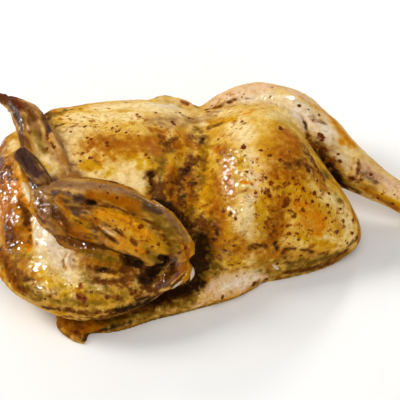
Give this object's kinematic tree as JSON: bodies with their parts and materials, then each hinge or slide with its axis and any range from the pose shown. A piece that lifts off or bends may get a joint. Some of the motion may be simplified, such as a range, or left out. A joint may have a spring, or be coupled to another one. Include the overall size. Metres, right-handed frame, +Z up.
{
  "type": "half roast chicken",
  "caption": "Half roast chicken lying cut side down, with browned skin, a folded wing at the shoulder end and the leg stretched out at the tail end.",
  "frame": {"origin": "centre of the bounding box at its base, on the surface the chicken lies on", "axes": "+X along the body from the neck end to the leg's ankle, +Y from the back and wing side to the breast bone side, +Z up through the skin"},
  "size_m": [0.2554, 0.1592, 0.0667],
  "materials": {
    "roasted_skin": "glossy, moist roasted skin, cream to golden yellow with browned and charred patches"
  },
  "bodies": {
    "root": {"chicken": "roasted_skin"}
  },
  "joints": []
}
